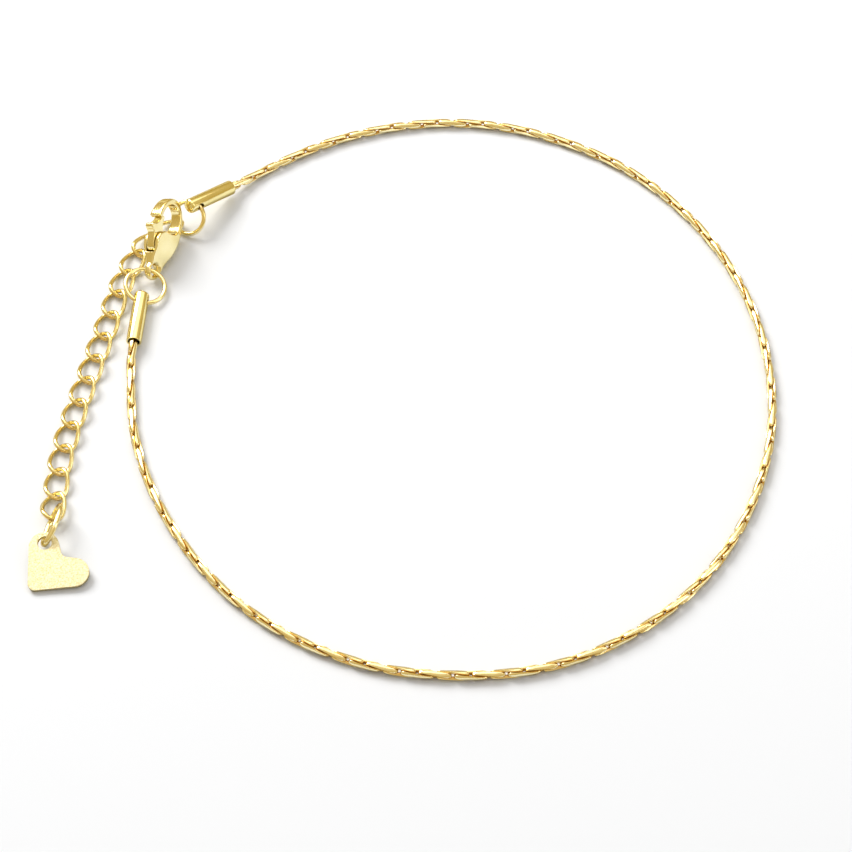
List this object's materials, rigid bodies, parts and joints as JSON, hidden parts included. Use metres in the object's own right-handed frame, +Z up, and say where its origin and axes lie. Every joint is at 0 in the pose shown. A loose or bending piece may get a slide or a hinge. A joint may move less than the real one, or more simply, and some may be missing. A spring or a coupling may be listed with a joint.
{
  "type": "chain anklet",
  "caption": "Fine twisted gold-tone chain anklet lying closed in a loop on its lobster clasp, with a curb extender chain and a flat heart charm.",
  "frame": {"origin": "middle of the bounding box's base, on the surface that the anklet lies on", "axes": "+Z up from the surface, +Y from the front of the loop to its back, with the clasp at the left, -X"},
  "size_m": [0.0806, 0.0766, 0.0055],
  "materials": {
    "chain_gold": "polished gold plate on flat cut links",
    "fitting_gold": "polished gold plate",
    "charm_gold": "pale gold plate, satin"
  },
  "bodies": {
    "anklet": {"main_chain_a": "chain_gold", "main_chain_b": "chain_gold", "end_tube_a": "fitting_gold", "end_tube_b": "fitting_gold", "jump_ring_a": "fitting_gold", "jump_ring_b": "fitting_gold", "clasp_body": "fitting_gold", "extender_link_01": "chain_gold", "extender_link_02": "chain_gold", "extender_link_03": "chain_gold", "extender_link_04": "chain_gold", "extender_link_05": "chain_gold", "extender_link_06": "chain_gold", "extender_link_07": "chain_gold", "extender_link_08": "chain_gold", "extender_link_09": "chain_gold", "extender_link_10": "chain_gold", "extender_link_11": "chain_gold", "extender_link_12": "chain_gold", "extender_link_13": "chain_gold", "extender_link_14": "chain_gold", "charm_ring": "fitting_gold", "heart_charm": "charm_gold"},
    "lever": {"clasp_lever": "fitting_gold"}
  },
  "joints": [
    {"name": "lever_press", "type": "hinge", "parent": "anklet", "child": "lever", "pos_m": [-0.02946, 0.01691, 0.00267], "axis": [-0.8369, 0.35, -0.4208], "range_deg": [0, 20], "stiffness_Nm_per_rad": 0.0004}
  ]
}
